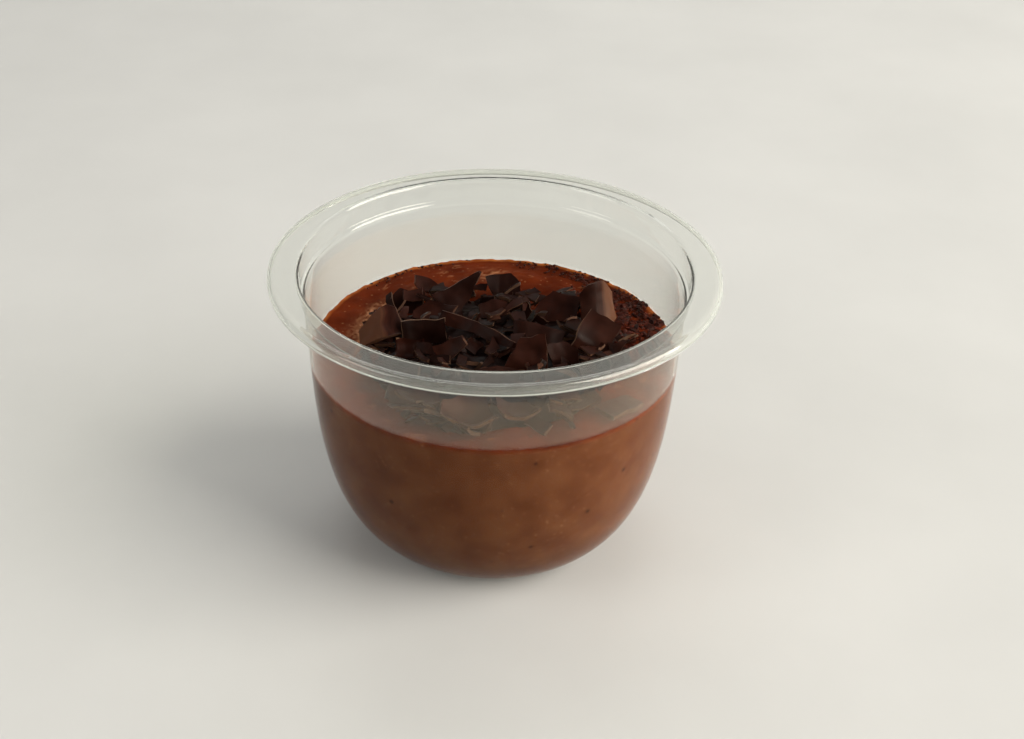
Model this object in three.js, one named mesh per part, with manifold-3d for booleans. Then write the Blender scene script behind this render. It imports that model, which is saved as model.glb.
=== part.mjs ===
// A portion of chocolate mousse in its clear, round-bottomed dessert cup, with dark chocolate shavings on top.
// The cup is one thin sheet of plastic: a foot ring, a bowl-shaped wall, a small shoulder, and a wide flange
// whose edge turns down. Mousse fills it to about two thirds, a heap of small shavings lies on the mousse, and
// the large shavings lie in and on the heap.
//
// Millimetres, +Z up. The origin is the centre of the foot, on the surface that the cup stands on. The heap
// leans towards -Y, the side that the large shavings face.

import * as THREE from "three";
import { mergeVertices } from "three/addons/utils/BufferGeometryUtils.js";
import Module from "manifold-3d";

const wasm = await Module();
wasm.setup();

// ---- Driving dimensions ----

const RIM_DIAMETER = 95; // over the flange, a common size of dessert cup
const CUP_HEIGHT = 65.5;
const SHEET = 0.6; // thickness of the plastic
const FLANGE_WIDTH = 5.9; // the flat ring, from the inner edge to the outside
const LIP_HEIGHT = 2.2; // how far the flange's edge turns down
const SHOULDER_DEPTH = 5.5; // from the flange down to the shoulder
const FOOT_RADIUS = 17;
const FILL_LEVEL = 45.2; // height of the mousse where it meets the wall
const GAP = 0.3; // between pieces that rest on each other

const ROUND_STEPS = 40; // facets round the cup and the mousse

// ---- Sizes that follow from them ----

const HALF_SHEET = SHEET / 2;
const RIM_RADIUS = RIM_DIAMETER / 2;
const FLANGE_INNER_RADIUS = RIM_RADIUS - FLANGE_WIDTH;
const SHOULDER_Z = CUP_HEIGHT - SHOULDER_DEPTH;

// ---- Helpers ----

const at = (r, z) => new THREE.Vector2(r, z);
const radians = THREE.MathUtils.degToRad;
const UPRIGHT = new THREE.Matrix4().makeRotationX(Math.PI / 2); // turns a lathe's +Y up to +Z

/** A profile of (radius, height) points turned about +Z. */
function turned(profile, steps = ROUND_STEPS) {
  return new THREE.LatheGeometry(profile, steps).applyMatrix4(UPRIGHT);
}

/** Moves each vertex of a geometry by a function of its place. */
function reshape(geometry, move) {
  const position = geometry.getAttribute("position");
  const point = new THREE.Vector3();
  for (let i = 0; i < position.count; i++) {
    point.fromBufferAttribute(position, i);
    move(point);
    position.setXYZ(i, point.x, point.y, point.z);
  }
  return geometry;
}

/** The outline that lies `distance` to the left of a line of points, with mitred corners. */
function offsetLine(line, distance) {
  return line.map((point, i) => {
    const before = line[Math.max(i - 1, 0)];
    const after = line[Math.min(i + 1, line.length - 1)];
    const into = point.clone().sub(before).normalize();
    const out = after.clone().sub(point).normalize();
    const along = into.add(out).normalize();
    const straight = i > 0 && i < line.length - 1 ? out.dot(along) : 1;
    return at(point.x - (along.y * distance) / straight, point.y + (along.x * distance) / straight);
  });
}

/** A closed geometry as a manifold solid. */
function solidOf(geometry) {
  const bare = geometry.clone();
  bare.deleteAttribute("normal");
  bare.deleteAttribute("uv");
  const merged = mergeVertices(bare, 1e-3);
  return new wasm.Manifold(
    new wasm.Mesh({
      numProp: 3,
      vertProperties: merged.getAttribute("position").array,
      triVerts: new Uint32Array(merged.index.array),
    }),
  );
}

/** A manifold solid as a geometry. */
function geometryOf(solid) {
  const mesh = solid.getMesh();
  return new THREE.BufferGeometry()
    .setAttribute("position", new THREE.BufferAttribute(mesh.vertProperties, 3))
    .setIndex(new THREE.BufferAttribute(mesh.triVerts, 1));
}

function named(name, geometry, material) {
  const mesh = new THREE.Mesh(geometry, material);
  mesh.name = name;
  return mesh;
}

// ---- Materials ----

const clearPlastic = new THREE.MeshStandardMaterial({
  color: 0xd9dad2,
  roughness: 0.12,
  metalness: 0,
  transparent: true,
  opacity: 0.35,
});
const mousseBrown = new THREE.MeshStandardMaterial({ color: 0x6b3a24, roughness: 0.75, metalness: 0 });
const darkChocolate = new THREE.MeshStandardMaterial({ color: 0x2b1712, roughness: 0.4, metalness: 0 });

// ---- The cup ----

/** The middle line of the cup's sheet, from the axis at the bottom, up the wall and out to the lip. */
function sheetLine() {
  const RECESS = 0.8; // the middle of the base is pressed up, so that the cup stands on a ring
  const RECESS_RADIUS = 9;
  const FOOT_RING = 5; // width of the flat ring
  const BOWL_REACH = 24.5; // how far the curve reaches outwards from the foot
  const WALL_REACH = 19.3; // how far it reaches down from the shoulder
  const WALL_DRAFT = radians(6);
  const SHOULDER_STEP = 0.7; // width of the ledge
  const SHOULDER_RISE = 0.9;
  const INNER_ROUND = 1.4; // round edge between the band and the flange
  const BEAD = 1.2; // round edge between the flange and its lip

  const foot = at(FOOT_RADIUS, HALF_SHEET);
  const flangeZ = CUP_HEIGHT - HALF_SHEET;
  const lipRadius = RIM_RADIUS - HALF_SHEET;
  const bandTop = at(FLANGE_INNER_RADIUS - HALF_SHEET, flangeZ - INNER_ROUND);
  const ledge = at(bandTop.x - 0.4, SHOULDER_Z + SHOULDER_RISE);
  const wallTop = at(ledge.x - SHOULDER_STEP, SHOULDER_Z);

  const bowl = new THREE.CubicBezierCurve(
    foot,
    at(foot.x + BOWL_REACH, foot.y),
    at(wallTop.x - WALL_REACH * Math.sin(WALL_DRAFT), wallTop.y - WALL_REACH * Math.cos(WALL_DRAFT)),
    wallTop,
  );
  const innerRound = new THREE.QuadraticBezierCurve(
    bandTop,
    at(bandTop.x, flangeZ),
    at(bandTop.x + INNER_ROUND, flangeZ),
  );
  const bead = new THREE.QuadraticBezierCurve(
    at(lipRadius - BEAD, flangeZ),
    at(lipRadius, flangeZ),
    at(lipRadius, flangeZ - BEAD),
  );
  return [
    at(0, RECESS + HALF_SHEET),
    at(RECESS_RADIUS, RECESS + HALF_SHEET),
    at(FOOT_RADIUS - FOOT_RING, HALF_SHEET),
    ...bowl.getPoints(9),
    ledge,
    ...innerRound.getPoints(2),
    ...bead.getPoints(2),
    at(lipRadius, CUP_HEIGHT - LIP_HEIGHT),
  ];
}

function cup() {
  const line = sheetLine();
  const inside = offsetLine(line, HALF_SHEET);
  const outside = offsetLine(line, -HALF_SHEET);
  inside[0].x = 0;
  outside[0].x = 0;
  return named("cup", turned([...outside, ...inside.reverse()]), clearPlastic);
}

// ---- The mousse ----

/** Height of the mousse's top at a place: level at the wall, softly uneven further in. */
function mousseTop(x, y) {
  const RELIEF = 0.45;
  const WAVE = 0.21; // radians for each millimetre
  const inward = 1 - THREE.MathUtils.smoothstep(Math.hypot(x, y), 28, 38);
  const waves = Math.sin(WAVE * x + 0.6) * Math.cos(WAVE * y - 0.4) + 0.5 * Math.sin(WAVE * 1.7 * (x + y));
  return FILL_LEVEL + RELIEF * waves * inward;
}

/** The cup's inside below the fill level, a gap away from the sheet. */
function fillLine() {
  const inside = offsetLine(sheetLine(), HALF_SHEET + GAP);
  inside[0].x = 0;
  const first = inside.findIndex((point) => point.y > FILL_LEVEL);
  const below = inside[first - 1];
  const above = inside[first];
  const share = (FILL_LEVEL - below.y) / (above.y - below.y);
  return [...inside.slice(0, first), below.clone().lerp(above, share)];
}

function mousse() {
  const TOP_RINGS = 9;
  const side = fillLine();
  const edge = side[side.length - 1].x;
  const top = [];
  for (let ring = TOP_RINGS - 1; ring >= 0; ring--) top.push(at((edge * ring) / TOP_RINGS, FILL_LEVEL));
  const geometry = reshape(turned([...side, ...top]), (point) => {
    if (point.z > FILL_LEVEL - 1e-6) point.z = mousseTop(point.x, point.y);
  });
  return named("mousse", geometry, mousseBrown);
}

// ---- The large shavings ----

const SHAVING_THICKNESS = 1.0;

// Each shaving is a curved plate. It first lies flat with its length along X. `spin` turns it in its own plane,
// `lean` tips it up to face -Y, and `turn` swings it about the vertical, all in degrees. `curl` is the angle that
// its length bends through, `point` narrows one end, and `round` takes it from a rectangle to an oval.
const SHAVINGS = [
  { at: [-7.2, 13, 50.5], turn: 0, lean: 65, spin: 46, size: [12, 8], curl: 45, point: 0.92, round: 0.1 },
  { at: [-19.5, 14.2, 48], turn: -15, lean: 52, spin: 8, size: [8, 6], curl: 25, point: 0.15, round: 0.5 },
  { at: [-15.7, 22.4, 47.4], turn: 20, lean: 42, spin: -20, size: [5, 4], curl: 30, point: 0.2, round: 0.2 },
  { at: [-25.1, -0.8, 48.2], turn: -42, lean: 46, spin: 44, size: [9.5, 9], curl: -45, point: 0.1, round: 0.5 },
  { at: [-14.9, -2.2, 50], turn: 5, lean: 76, spin: 3, size: [9.5, 5.6], curl: 20, point: 0, round: 0 },
  { at: [-12.6, 7.4, 49.2], turn: -24, lean: 34, spin: 6, size: [10, 5.5], curl: 20, point: 0.3, round: 0.2 },
  { at: [-17.4, -7.4, 48.4], turn: -8, lean: 40, spin: 8, size: [6.5, 4.5], curl: 90, point: 0.2, round: 0.4 },
  { at: [-9.2, -9.2, 49], turn: -15, lean: 60, spin: 40, size: [8, 5.5], curl: 22, point: 0.6, round: 0.1 },
  { at: [-3, -2.6, 51], turn: -31, lean: 70, spin: -3, size: [19, 3.4], curl: 34, point: 0.5, round: 0.3 },
  { at: [-0.2, 9.4, 49.4], turn: 14, lean: 38, spin: -10, size: [6.5, 5], curl: 20, point: 0.3, round: 0.1 },
  { at: [1.8, 21, 48], turn: 5, lean: 58, spin: 0, size: [8, 6], curl: 20, point: 0.1, round: 0.3 },
  { at: [13.8, 11, 49], turn: -10, lean: 50, spin: -6, size: [9, 7], curl: 25, point: 0.1, round: 0.1 },
  { at: [23, 8.6, 50.8], turn: 22, lean: 66, spin: -6, size: [8.6, 11.5], curl: -55, point: 0, round: 0.9 },
  { at: [21.6, -4, 50], turn: 8, lean: 64, spin: -31, size: [7.8, 8.8], curl: 16, point: 0, round: 0 },
  { at: [9.4, -2.6, 50.2], turn: 6, lean: 42, spin: -10, size: [11, 5.2], curl: -36, point: 0.3, round: 0.2 },
  { at: [6.4, -11, 50], turn: 2, lean: 64, spin: 4, size: [9.6, 7], curl: 20, point: -0.2, round: 0 },
  { at: [14.4, -8.4, 48.6], turn: 12, lean: 56, spin: 4, size: [6.5, 5.5], curl: 24, point: 0.1, round: 0.1 },
  { at: [-19.6, -15.4, 48], turn: -25, lean: 30, spin: 20, size: [10, 7.5], curl: 38, point: 0.3, round: 0.3 },
  { at: [0.5, -19, 48.8], turn: 12, lean: 35, spin: -15, size: [10.5, 7], curl: 30, point: 0.2, round: 0.2 },
  { at: [14.5, -17.8, 48.4], turn: 30, lean: 28, spin: 12, size: [10, 7.5], curl: -36, point: 0.2, round: 0.4 },
  { at: [-15.6, -26.6, 47], turn: -14, lean: 16, spin: 14, size: [10.5, 7], curl: -50, point: 0.3, round: 0.7 },
  { at: [-5.2, -30, 47.2], turn: 10, lean: 22, spin: -12, size: [10.5, 8], curl: 45, point: 0.15, round: 0.4 },
  { at: [5.4, -28.6, 47], turn: -16, lean: 16, spin: 24, size: [9, 6], curl: 36, point: 0.4, round: 0.2 },
  { at: [25.4, -24, 46.4], turn: 45, lean: 6, spin: -4, size: [8.5, 5], curl: 10, point: 0, round: 0 },
];

/** A curved plate of chocolate, `grown` larger all round. */
function shavingShape({ size, curl, point, round }, grown = 0) {
  const LENGTH_STEPS = 4;
  const WIDTH_STEPS = 3;
  const THIN_EDGE = 0.45; // thickness at the long edge where the blade ran out, as a share of the whole
  const [length, width] = size;
  const bend = radians(curl);
  const bendRadius = length / bend;
  const plate = new THREE.BoxGeometry(1, 1, 1, LENGTH_STEPS, WIDTH_STEPS, 1);
  return reshape(plate, (corner) => {
    const { x: u, y: v, z: side } = corner;
    const oval = Math.sqrt(Math.max(1 - (2 * u) ** 2 * round * 0.85, 0.02));
    const narrow = 1 - point * (u + 0.5);
    const across = v * (width * oval * narrow + 2 * grown);
    const along = u * (length + 2 * grown);
    const thick = SHAVING_THICKNESS * (1 - (1 - THIN_EDGE) * (v + 0.5)) + 2 * grown;
    const arc = along / bendRadius;
    const radius = bendRadius - side * thick;
    corner.set(radius * Math.sin(arc), across, bendRadius - radius * Math.cos(arc));
  });
}

/** A shape placed as one of the SHAVINGS, in nested groups that its angles turn, clear of the mousse. */
function placed(shaving, mesh) {
  const leaning = new THREE.Group().add(mesh);
  const place = new THREE.Group().add(leaning);
  mesh.rotation.z = radians(shaving.spin);
  leaning.rotation.x = radians(shaving.lean);
  place.rotation.z = radians(shaving.turn);
  place.position.set(...shaving.at);
  place.position.z += liftFor(shaving);
  return place;
}

/** How far a shaving must rise to lie a gap above the mousse. */
function liftFor({ at: [x, y, z], turn, lean, spin, ...size }) {
  const turned = new THREE.Euler(radians(lean), 0, radians(turn), "ZYX");
  const shape = shavingShape(size);
  let lift = 0;
  reshape(shape, (corner) => {
    corner.applyAxisAngle(new THREE.Vector3(0, 0, 1), radians(spin)).applyEuler(turned);
    lift = Math.max(lift, mousseTop(x + corner.x, y + corner.y) + GAP + 0.1 - z - corner.z);
  });
  return lift;
}

function largeShavings() {
  return SHAVINGS.map((shaving, i) => {
    const name = `shaving_${String(i + 1).padStart(2, "0")}`;
    return placed(shaving, named(name, shavingShape(shaving), darkChocolate));
  });
}

// ---- The heap of small shavings ----

const HEAP_CENTRE = { x: 0, y: -4.5 };
const HEAP_CLEARANCE = 0.55; // from the mousse, whose top is facetted differently

/** How far the heap reaches from its centre in a direction. */
function heapReach(angle) {
  const MEAN_REACH = 27.5;
  return MEAN_REACH + 1.3 * Math.sin(3 * angle + 0.5) + 0.8 * Math.sin(7 * angle + 2) - 1.4 * Math.sin(angle);
}

/** Thickness of the heap at a place: a low mound, as uneven as the shavings in it. */
function heapThickness(x, y, share) {
  const HEIGHT = 4.6;
  const EDGE = 0.5;
  const mound = HEIGHT * (1 - share ** 2.4);
  const lumps = 0.55 * Math.sin(0.62 * x + 1) * Math.sin(0.55 * y) + 0.35 * Math.sin(1.05 * x - 0.8 * y);
  return EDGE + mound + lumps * (1 - share ** 3);
}

function heap() {
  const RINGS = 5;
  const STEPS = 28;
  const outline = [at(0, 0)];
  for (let ring = 1; ring <= RINGS; ring++) outline.push(at(ring / RINGS, 0));
  for (let ring = RINGS; ring > 0; ring--) outline.push(at(ring / RINGS, 1));
  outline.push(at(0, 1));
  const mound = reshape(turned(outline, STEPS), (point) => {
    const share = Math.hypot(point.x, point.y);
    const reach = heapReach(Math.atan2(point.y, point.x));
    const x = HEAP_CENTRE.x + point.x * reach;
    const y = HEAP_CENTRE.y + point.y * reach;
    point.set(x, y, mousseTop(x, y) + HEAP_CLEARANCE + point.z * heapThickness(x, y, share));
  });
  let solid = solidOf(mound);
  for (const shaving of SHAVINGS) {
    const room = new THREE.Mesh(shavingShape(shaving, GAP));
    placed(shaving, room).updateMatrixWorld(true);
    solid = solid.subtract(solidOf(room.geometry.applyMatrix4(room.matrixWorld)));
  }
  const pieces = solid.decompose().sort((a, b) => b.volume() - a.volume());
  return named("shavings_heap", geometryOf(pieces[0]), darkChocolate);
}

// ---- The dessert ----

const dessert = new THREE.Group();
dessert.add(cup(), mousse(), heap(), ...largeShavings());

export default dessert;
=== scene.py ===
# %% [markdown]
# # A chocolate mousse in a clear cup
#
# The dessert is a clear plastic cup with a flanged rim, two thirds full of chocolate mousse. A heap of
# dark chocolate shavings lies on the mousse: large curved plates, small broken ones between them, and
# crumbs and grated chocolate round the edge. The cup, the mousse and the heap are made again here with
# the fine shape that the CAD solids leave out. The large shavings start from their CAD solids, because
# those already lie in the right places.

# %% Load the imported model
import math
import random

import bmesh
import bpy
import numpy as np
from mathutils import Matrix, Vector, noise
from mathutils.bvhtree import BVHTree


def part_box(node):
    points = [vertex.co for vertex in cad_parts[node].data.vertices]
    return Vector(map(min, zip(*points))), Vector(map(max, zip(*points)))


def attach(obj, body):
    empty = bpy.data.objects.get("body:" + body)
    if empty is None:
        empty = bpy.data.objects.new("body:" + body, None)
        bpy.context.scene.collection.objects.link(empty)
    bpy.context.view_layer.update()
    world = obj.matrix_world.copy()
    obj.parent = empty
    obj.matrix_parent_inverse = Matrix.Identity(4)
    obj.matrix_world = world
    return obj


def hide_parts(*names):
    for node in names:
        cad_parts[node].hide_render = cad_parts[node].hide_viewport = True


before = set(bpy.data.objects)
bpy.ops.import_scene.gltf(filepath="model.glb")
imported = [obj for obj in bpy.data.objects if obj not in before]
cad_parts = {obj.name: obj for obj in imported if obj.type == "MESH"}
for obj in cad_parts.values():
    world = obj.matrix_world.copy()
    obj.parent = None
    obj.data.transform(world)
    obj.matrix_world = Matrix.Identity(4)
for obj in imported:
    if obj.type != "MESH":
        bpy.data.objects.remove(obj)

MM = 0.001
noise.seed_set(21)  # noise vectors are shifted at random, the same way in each run
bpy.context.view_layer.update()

# %% [markdown]
# ## Colours and nodes
#
# Colours are written as sRGB hex values, as a colour picker shows them, and Blender's shaders need linear
# ones. One function converts them. A second function adds a node to a material, sets it and links it, so
# that a material reads as a list of what it is made of, from the place on the object to the output.

# %% Colour and node helpers
def colour(hex_value):
    """An sRGB hex colour as linear RGBA."""
    channels = [int(hex_value[i : i + 2], 16) / 255 for i in (1, 3, 5)]
    linear = [c / 12.92 if c <= 0.04045 else ((c + 0.055) / 1.055) ** 2.4 for c in channels]
    return (*linear, 1.0)


def new_material(name):
    """A material with no nodes yet."""
    material = bpy.data.materials.new(name)
    material.use_nodes = True
    material.node_tree.nodes.clear()
    return material


def add_node(material, kind, inputs, **settings):
    """Adds a node. Each input is a value, an output socket, or a node to take the first used output of."""
    node = material.node_tree.nodes.new(kind)
    for name, value in settings.items():
        setattr(node, name, value)
    for socket, value in inputs.items():
        if isinstance(value, bpy.types.Node):
            value = next(output for output in value.outputs if output.enabled)
        if isinstance(value, bpy.types.NodeSocket):
            material.node_tree.links.new(value, node.inputs[socket])
        else:
            node.inputs[socket].default_value = value
    return node


NOISE_SPAN = {"From Min": 0.3, "From Max": 0.7}  # most values of a noise texture lie between these
print("chocolate brown #3a2218 in linear light:", [round(c, 3) for c in colour("#3a2218")[:3]])

# %% [markdown]
# ## The cup's profile
#
# A thermoformed cup is one sheet, so one line through the middle of the sheet describes it all: the
# raised middle of the base, the foot ring, the bowl, the shoulder, the band above it, the flange and its
# turned-down lip. The outside and inside surfaces are that line moved half a sheet to either side.
# Turning the outline about the vertical axis makes the cup, as a lathe would. The rim and the height are
# read from the CAD box.

# %% Sizes of the cup
cup_low, cup_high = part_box("cup")
RIM_RADIUS = cup_high.x
CUP_HEIGHT = cup_high.z
SHEET = 0.6 * MM
FLANGE_WIDTH = 5.9 * MM
LIP_HEIGHT = 2.2 * MM
SHOULDER_DEPTH = 5.5 * MM
FOOT_RADIUS = 17 * MM
FILL_LEVEL = 45.2 * MM
print("rim radius and height in mm:", round(RIM_RADIUS / MM, 1), round(CUP_HEIGHT / MM, 1))


# %% The middle line of the sheet
def bezier(points, steps):
    """Points along a Bezier curve of any degree, by repeated halving of its control polygon."""
    curve = []
    for share in np.linspace(0, 1, steps + 1):
        level = np.array(points, float)
        while len(level) > 1:
            level = level[:-1] * (1 - share) + level[1:] * share
        curve.append(level[0])
    return curve


def sheet_line():
    """(radius, height) points of the sheet's middle line, from the axis to the lip."""
    foot = np.array([FOOT_RADIUS, SHEET / 2])
    flange_height = CUP_HEIGHT - SHEET / 2
    lip_radius = RIM_RADIUS - SHEET / 2
    band_radius = RIM_RADIUS - FLANGE_WIDTH - SHEET / 2
    step_width, step_height, step_pull = 0.7 * MM, 0.9 * MM, 0.45 * MM
    ledge = np.array([band_radius - 0.4 * MM, CUP_HEIGHT - SHOULDER_DEPTH + step_height])
    wall_top = ledge - np.array([step_width, step_height])
    draft = math.radians(6)
    foot_pull = np.array([24.5 * MM, 0])
    wall_pull = 19.3 * MM * np.array([math.sin(draft), math.cos(draft)])
    base_rise, base_flat, base_slope_end = 0.8 * MM, 9 * MM, 12 * MM
    inner_round = 0.9 * MM
    bead = 1.2 * MM

    base = [(0, SHEET / 2 + base_rise), (base_flat, SHEET / 2 + base_rise), (base_slope_end, SHEET / 2)]
    bowl = bezier([foot, foot + foot_pull, wall_top - wall_pull, wall_top], 48)
    shoulder = bezier([wall_top, wall_top + [0.1 * MM, step_pull], ledge - [0, step_pull], ledge], 6)
    band_top = (band_radius, flange_height - inner_round)
    inner = bezier([band_top, (band_radius, flange_height), (band_radius + inner_round, flange_height)], 6)
    edge_start = (lip_radius - bead, flange_height)
    edge = bezier([edge_start, (lip_radius, flange_height), (lip_radius, flange_height - bead)], 8)
    lip = [(lip_radius, CUP_HEIGHT - LIP_HEIGHT + SHEET / 2)]
    return np.array([*base, *bowl, *shoulder[1:], *inner, *edge, *lip], float)


middle_line = sheet_line()
print("points on the sheet's line:", len(middle_line))


# %% Moving a line sideways, and turning it
def beside(line, distance):
    """The line moved to its left by a distance."""
    ahead = np.vstack([line[1:], 2 * line[-1] - line[-2]]) - line
    behind = line - np.vstack([2 * line[0] - line[1], line[:-1]])
    along = ahead / np.linalg.norm(ahead, axis=1)[:, None] + behind / np.linalg.norm(behind, axis=1)[:, None]
    along /= np.linalg.norm(along, axis=1)[:, None]
    moved = line + distance * np.column_stack([-along[:, 1], along[:, 0]])
    moved[0, 0] = 0
    return moved


def mesh_object(name, vertices, faces, material):
    """A smooth-shaded object from vertices and faces."""
    mesh = bpy.data.meshes.new(name)
    mesh.from_pydata([tuple(v) for v in vertices], [], faces)
    mesh.materials.append(material)
    mesh.shade_smooth()
    thing = bpy.data.objects.new(name, mesh)
    bpy.context.scene.collection.objects.link(thing)
    return thing


def turned(outline, steps):
    """Vertices and faces of an outline turned about the vertical axis. It starts and ends on the axis."""
    angles = np.linspace(0, 2 * math.pi, steps, endpoint=False)
    rings = outline[1:-1]
    vertices = [(r * math.cos(a), r * math.sin(a), z) for r, z in rings for a in angles]
    first, last = len(vertices), len(vertices) + 1
    vertices += [(0, 0, outline[0][1]), (0, 0, outline[-1][1])]
    faces = []
    for j in range(steps):
        k = (j + 1) % steps
        faces.append((first, k, j))
        faces.append((last, (len(rings) - 1) * steps + j, (len(rings) - 1) * steps + k))
        for i in range(len(rings) - 1):
            faces.append((i * steps + j, i * steps + k, (i + 1) * steps + k, (i + 1) * steps + j))
    return vertices, faces


print("inside of the rim, mm:", np.round(beside(middle_line, SHEET / 2)[-1] / MM, 2))

# %% [markdown]
# ## Clear plastic
#
# The cup is polypropylene, formed hot from a thin sheet. The eye sees a glossy skin with soft ripples
# where the sheet was stretched, pale streaks of light along the rim, and a lip that is a little milky.
# From the mousse up to just below the shoulder the inside is misted: fine drops and a smear of mousse fog
# the wall, which lays a pale brown veil over what is behind it. Where the mousse wets the wall, the
# mirror of its inner face is gone. A path tracer lets no lamp shine through glass on its own, so shadow
# rays are let through.

# %% The skin of the plastic
def skins(material, place):
    """The glossy skin in the air, and the one that mousse wets, where the inner face mirrors nothing."""
    ripple_scale = 1 / (14 * MM)  # stretch marks about 14 mm apart, longer up the wall than round it
    stretched = add_node(material, "ShaderNodeMapping", {"Vector": place, "Scale": (1, 1, 0.35)})
    ripples = add_node(
        material, "ShaderNodeTexNoise", {"Vector": stretched, "Scale": ripple_scale, "Detail": 2}
    )
    bump = add_node(
        material, "ShaderNodeBump", {"Height": ripples, "Strength": 0.2, "Distance": 0.4 * MM}
    )
    clear = {"Base Color": colour("#fbfcf9"), "Transmission Weight": 1.0, "Normal": bump}
    in_air = add_node(material, "ShaderNodeBsdfPrincipled", {**clear, "Roughness": 0.02, "IOR": 1.49})
    wetted = add_node(material, "ShaderNodeBsdfPrincipled", {**clear, "Roughness": 0.05, "IOR": 1.16})
    return in_air, wetted


print("IOR of polypropylene: 1.49, and 1.16 stands for it where the mousse wets it")


# %% Mist on the wall
MIST_SHARE = 0.042  # how much of the misted wall is drops and smear, not clear plastic
SHOULDER_HEIGHT = CUP_HEIGHT - SHOULDER_DEPTH
MIST_TOP = SHOULDER_HEIGHT - 1.8 * MM


def above_mousse(material, height):
    """From 0 on the mousse's side to 1 above it."""
    return add_node(
        material,
        "ShaderNodeMapRange",
        {"Value": height, "From Min": FILL_LEVEL, "From Max": FILL_LEVEL + 1.5 * MM},
        interpolation_type="SMOOTHSTEP",
    )


def mist_share(material, place, height, above):
    """How much mist lies at a place: blotches about 6 mm wide, between the mousse and the shoulder."""
    below = add_node(
        material,
        "ShaderNodeMapRange",
        {"Value": height, "From Min": MIST_TOP, "From Max": MIST_TOP - 2 * MM},
        interpolation_type="SMOOTHSTEP",
    )
    blotches = add_node(
        material, "ShaderNodeTexNoise", {"Vector": place, "Scale": 1 / (6 * MM), "Detail": 4}
    )
    thin, thick = 0.85 * MIST_SHARE, 1.15 * MIST_SHARE
    uneven = add_node(
        material, "ShaderNodeMapRange", {"Value": blotches, **NOISE_SPAN, "To Min": thin, "To Max": thick}
    )
    band = add_node(material, "ShaderNodeMath", {0: above, 1: below}, operation="MULTIPLY")
    return add_node(material, "ShaderNodeMath", {0: band, 1: uneven}, operation="MULTIPLY")


print("mist from", FILL_LEVEL / MM, "to", round(MIST_TOP / MM, 1), "mm")


# %% The milky lip
LIP_CLOUD = 0.1  # how milky the lip is, where the sheet was bent over and cooled slowly


def lip_cloud(material, apart):
    """How milky the plastic is, by its distance from the axis."""
    flat = add_node(material, "ShaderNodeCombineXYZ", {"X": apart.outputs["X"], "Y": apart.outputs["Y"]})
    radius = add_node(material, "ShaderNodeVectorMath", {0: flat}, operation="LENGTH")
    return add_node(
        material,
        "ShaderNodeMapRange",
        {"Value": radius, "From Min": RIM_RADIUS - 2 * MM, "From Max": RIM_RADIUS, "To Max": LIP_CLOUD},
    )


print("the cloud starts", round((RIM_RADIUS - 2 * MM) / MM, 1), "mm from the axis")


# %% Material: thermoformed polypropylene
def polypropylene():
    """Skin, mist, milky lip, the way through for lamps, and a faint green grey in the sheet's thickness."""
    material = new_material("thermoformed_polypropylene")
    place = add_node(material, "ShaderNodeTexCoord", {}).outputs["Object"]
    apart = add_node(material, "ShaderNodeSeparateXYZ", {"Vector": place})
    height = apart.outputs["Z"]
    above = above_mousse(material, height)
    in_air, wetted = skins(material, place)
    skin = add_node(material, "ShaderNodeMixShader", {0: above, 1: wetted, 2: in_air})
    share = mist_share(material, place, height, above)
    mist = add_node(material, "ShaderNodeBsdfDiffuse", {"Color": colour("#d2ae86")})
    misted = add_node(material, "ShaderNodeMixShader", {0: share, 1: skin, 2: mist})
    cloudy = lip_cloud(material, apart)
    cloud = add_node(material, "ShaderNodeBsdfDiffuse", {"Color": colour("#eef1ea")})
    plastic = add_node(material, "ShaderNodeMixShader", {0: cloudy, 1: misted, 2: cloud})
    for_lamps = add_node(material, "ShaderNodeBsdfTransparent", {"Color": colour("#f2f2ee")})
    rays = add_node(material, "ShaderNodeLightPath", {})
    lit = add_node(
        material, "ShaderNodeMixShader", {0: rays.outputs["Is Shadow Ray"], 1: plastic, 2: for_lamps}
    )
    tint = add_node(material, "ShaderNodeVolumeAbsorption", {"Color": colour("#a0bcb3"), "Density": 70.0})
    add_node(material, "ShaderNodeOutputMaterial", {"Surface": lit, "Volume": tint})
    return material


PLASTIC = polypropylene()
print("nodes in the plastic:", len(PLASTIC.node_tree.nodes))


# %% Make the cup
LATHE_STEPS = 160


def make_cup():
    """The sheet's outside, its rounded lip end and its inside, turned as one outline."""
    outside = beside(middle_line, -SHEET / 2)
    inside = beside(middle_line, SHEET / 2)
    end = middle_line[-1]
    turns = np.linspace(0, math.pi, 7)[1:-1]
    rounded = [end + SHEET / 2 * np.array([math.cos(turn), -math.sin(turn)]) for turn in turns]
    outline = np.vstack([outside, rounded, inside[::-1]])
    vertices, faces = turned(outline, LATHE_STEPS)
    cup = mesh_object("clear_cup", vertices, faces, PLASTIC)
    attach(cup, "root")
    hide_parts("cup")
    return cup


cup = make_cup()
print("cup:", len(cup.data.polygons), "faces")

# %% [markdown]
# ## The mousse
#
# Mousse is chocolate cream whipped full of air. It was poured in soft, so its side takes the shape of the
# cup, its top is nearly level with slow waves, and burst bubbles leave small craters in it. Against the
# wall it shows pores. The body is turned from the cup's own inside line, pushed 0.2 mm into the sheet:
# with no air between the two, the wall shows the mousse itself and not a mirror. The top is a fine net of
# rings, moved up and down by a function of the place.

# %% Height of the mousse's top
EDGE_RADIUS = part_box("mousse")[1].x


def slow_waves(x, y):
    """The same waves as the CAD solid's top, in metres."""
    wave = 210.0  # radians a metre, which sets the crests 30 mm apart
    height, calm_from, calm_over = 0.45 * MM, 28 * MM, 10 * MM
    t = min(max((math.hypot(x, y) - calm_from) / calm_over, 0), 1)
    inward = 1 - t * t * (3 - 2 * t)
    wide = math.sin(wave * x + 0.6) * math.cos(wave * y - 0.4)
    return height * (wide + 0.5 * math.sin(wave * 1.7 * (x + y))) * inward


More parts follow.
